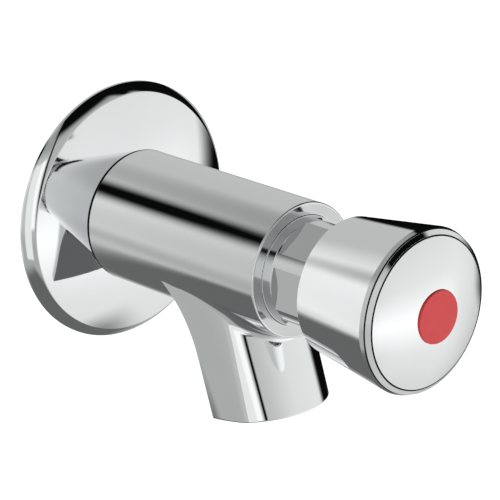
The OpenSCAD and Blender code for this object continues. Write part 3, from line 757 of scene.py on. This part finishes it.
# solids that keep their own shape, by finish
solidFinish = dict(
    bonnetChrome=["bonnet"], polishedChrome=["outlet_ring"], regulatorPlastic=["flow_regulator"],
    castBrass=["cartridge_sleeve", "valve_disc", "valve_nut", "bleed_jet"],
    springSteel=["inlet_strainer", "spindle", "button_screw", "piston_circlip"],
    whiteAcetal=["spindle_bush", "glide_ring", "piston", "flow_straightener"],
    blackRubber=["regulator_oring", "sleeve_rear_oring", "sleeve_front_oring", "bonnet_oring", "spindle_seal",
                 "outlet_seal", "piston_cup_seal", "seat_washer"])
for finish, solids in solidFinish.items():
    for name in solids:
        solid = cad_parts[name]
        solid.data.materials.clear()
        solid.data.materials.append(finishes[finish])
    print("finished in", finish + ":", len(solids), "solids")

# studio: the floor, and the light where no panel is
studioLook = dict(floorDrop=0.6, floorSize=14.0, floorRough=0.9, floorGrain=3, floorDark=(0.9, 0.9, 0.9),
                  floorLight=(0.93, 0.93, 0.93), floorGlow=0.8, base=0.58, tint=(0.975, 0.985, 0.969))
# soft lights and dark flags far round the tap, later ones over earlier ones: middle, size and edge
# softness in degrees, with azimuth 0 to the front
studioPanels = dict(
    lowHaze=dict(azimuth=0, elevation=-90, width=720, height=152, soft=16, light=0.45),
    backTop=dict(azimuth=0, elevation=90, width=720, height=94, soft=12, light=0.36),
    wallBox=dict(azimuth=-160, elevation=4, width=40, height=60, soft=20, light=0.98),
    rightGlow=dict(azimuth=138, elevation=-18, width=40, height=24, soft=22, light=0.42),
    sideShade=dict(azimuth=-118, elevation=-21, width=50, height=14, soft=12, light=0.47),
    frontBase=dict(azimuth=42, elevation=-20, width=100, height=80, soft=64, light=0.92),
    frontBox=dict(azimuth=28, elevation=-20, width=60, height=16, soft=20, light=1.2),
    frontTop=dict(azimuth=5, elevation=34, width=90, height=30, soft=14, light=0.5),
    ceiling=dict(azimuth=10, elevation=90, width=110, height=70, soft=10, light=0.003),
    rightCeiling=dict(azimuth=78, elevation=62, width=50, height=46, soft=10, light=0.003),
    leftBox=dict(azimuth=-61, elevation=2, width=18, height=68, soft=3, light=0.92),
    leftCore=dict(azimuth=-49, elevation=13, width=9, height=48, soft=4, light=1.12),
    slit=dict(azimuth=-39.2, elevation=24, width=4.6, height=76, soft=3, light=0.0),
    topFlag=dict(azimuth=-149, elevation=34, width=20, height=20, soft=14, light=0.003))
# flags near the tap: a corner and two sides in millimetres, and how far each edge fades in
studioCards = dict(
    rimFlag=dict(corner=(-13, -121, 19.8), along=(42, 0, 8.5), up=(0, 0, 11.5), fade=(4, 8, 2.5, 3),
                 light=0.003),
    darkFloor=dict(corner=(-195, -112, -130), along=(300, 0, 0), up=(0, 285, 0), fade=(60, 60, 34, 60),
                   light=0.14),
    rightFlag=dict(corner=(297, -157, -110), along=(-187, 194, 0), up=(0, 0, 440), fade=(112, 8, 30, 60),
                   light=0.003))


def makeFloor(look):
    half, level = look["floorSize"] / 2, -look["floorDrop"]
    mesh = bpy.data.meshes.new("floor")
    mesh.from_pydata([(-half, -half, level), (half, -half, level), (half, half, level), (-half, half, level)],
                     [], [(0, 1, 2, 3)])
    material, tree, shader = newFinish("paleFloor")
    shader.inputs["Roughness"].default_value = look["floorRough"]
    varyColour(tree, shader, unevenness(tree, look["floorGrain"]), look["floorDark"], look["floorLight"])
    shader.inputs["Emission Color"].default_value = (1, 1, 1, 1)
    shader.inputs["Emission Strength"].default_value = look["floorGlow"]
    mesh.materials.append(material)
    floor = bpy.data.objects.new("floor", mesh)
    scene.collection.objects.link(floor)
    floor.visible_glossy = False  # the chrome mirrors the studio, not the floor's edge


def sumNode(tree, operation, first, second=None, third=None):
    node = addNode(tree, "ShaderNodeMath", operation=operation)
    for socket, value in zip(node.inputs, (first, second, third)):
        if isinstance(value, (int, float)):
            socket.default_value = value
        elif value is not None:
            tree.links.new(value, socket)
    return node.outputs[0]


def nearness(tree, angle, middle, size, soft):  # 1 inside the size, fading to 0 over the soft edge
    turned = sumNode(tree, "WRAP", sumNode(tree, "SUBTRACT", angle, middle), 180, -180)
    return addRange(tree, sumNode(tree, "ABSOLUTE", turned), "SMOOTHSTEP", fromMin=(size - soft) / 2,
                    fromMax=(size + soft) / 2, toMin=1, toMax=0)


def makeStudio(panels, look):
    world = bpy.data.worlds.new("studio")
    scene.world = world
    world.use_nodes = True
    tree = world.node_tree
    place = addNode(tree, "ShaderNodeTexCoord")
    parts = addNode(tree, "ShaderNodeSeparateXYZ")
    tree.links.new(place.outputs["Generated"], parts.inputs["Vector"])
    x, y, z = parts.outputs
    azimuth = sumNode(tree, "DEGREES", sumNode(tree, "ARCTAN2", x, sumNode(tree, "MULTIPLY", y, -1)))
    elevation = sumNode(tree, "DEGREES", sumNode(tree, "ARCSINE", z))
    shade = look["base"]
    for panel in panels.values():
        across = nearness(tree, azimuth, panel["azimuth"], panel["width"], panel["soft"])
        upright = nearness(tree, elevation, panel["elevation"], panel["height"], panel["soft"])
        mask = sumNode(tree, "MULTIPLY", across, upright)
        change = sumNode(tree, "MULTIPLY", mask, sumNode(tree, "SUBTRACT", panel["light"], shade))
        shade = sumNode(tree, "ADD", shade, change)
    background = tree.nodes["Background"]
    background.inputs["Color"].default_value = (*look["tint"], 1)
    tree.links.new(shade, background.inputs["Strength"])
    scene.view_settings.view_transform = "Standard"
    print("studio ready with", len(panels), "panels")


def makeCard(name, card):
    corner, along, up = (Vector(card[key]) * mm for key in ("corner", "along", "up"))
    mesh = bpy.data.meshes.new(name)
    mesh.from_pydata([corner, corner + along, corner + along + up, corner + up], [], [(0, 1, 2, 3)])
    wide, high = Vector(card["along"]).length, Vector(card["up"]).length
    layer = mesh.uv_layers.new(name="millimetres")
    for loop, spot in zip(layer.data, ((0, 0), (wide, 0), (wide, high), (0, high))):
        loop.uv = spot
    material, tree, shader = newFinish(name)
    tree.nodes.remove(shader)
    parts = addNode(tree, "ShaderNodeSeparateXYZ")
    tree.links.new(addNode(tree, "ShaderNodeTexCoord").outputs["UV"], parts.inputs["Vector"])
    left, right, low, top = card["fade"]
    mask = 1.0
    for axis, start, end in ((0, 0, left), (0, wide, wide - right), (1, 0, low), (1, high, high - top)):
        fade = addRange(tree, parts.outputs[axis], "SMOOTHSTEP", fromMin=start, fromMax=end)
        mask = sumNode(tree, "MULTIPLY", mask, fade)
    glow = addNode(tree, "ShaderNodeEmission", Strength=card["light"])
    mix = addNode(tree, "ShaderNodeMixShader")
    tree.links.new(mask, mix.inputs["Fac"])
    tree.links.new(addNode(tree, "ShaderNodeBsdfTransparent").outputs["BSDF"], mix.inputs[1])
    tree.links.new(glow.outputs["Emission"], mix.inputs[2])
    tree.links.new(mix.outputs["Shader"], tree.nodes["Material Output"].inputs["Surface"])
    mesh.materials.append(material)
    flag = bpy.data.objects.new(name, mesh)
    scene.collection.objects.link(flag)
    flag.visible_camera = flag.visible_diffuse = flag.visible_shadow = False  # seen in the chrome alone


makeFloor(studioLook)
makeStudio(studioPanels, studioLook)
for name, card in studioCards.items():
    makeCard(name, card)
print("floor and", len(studioCards), "flags placed")
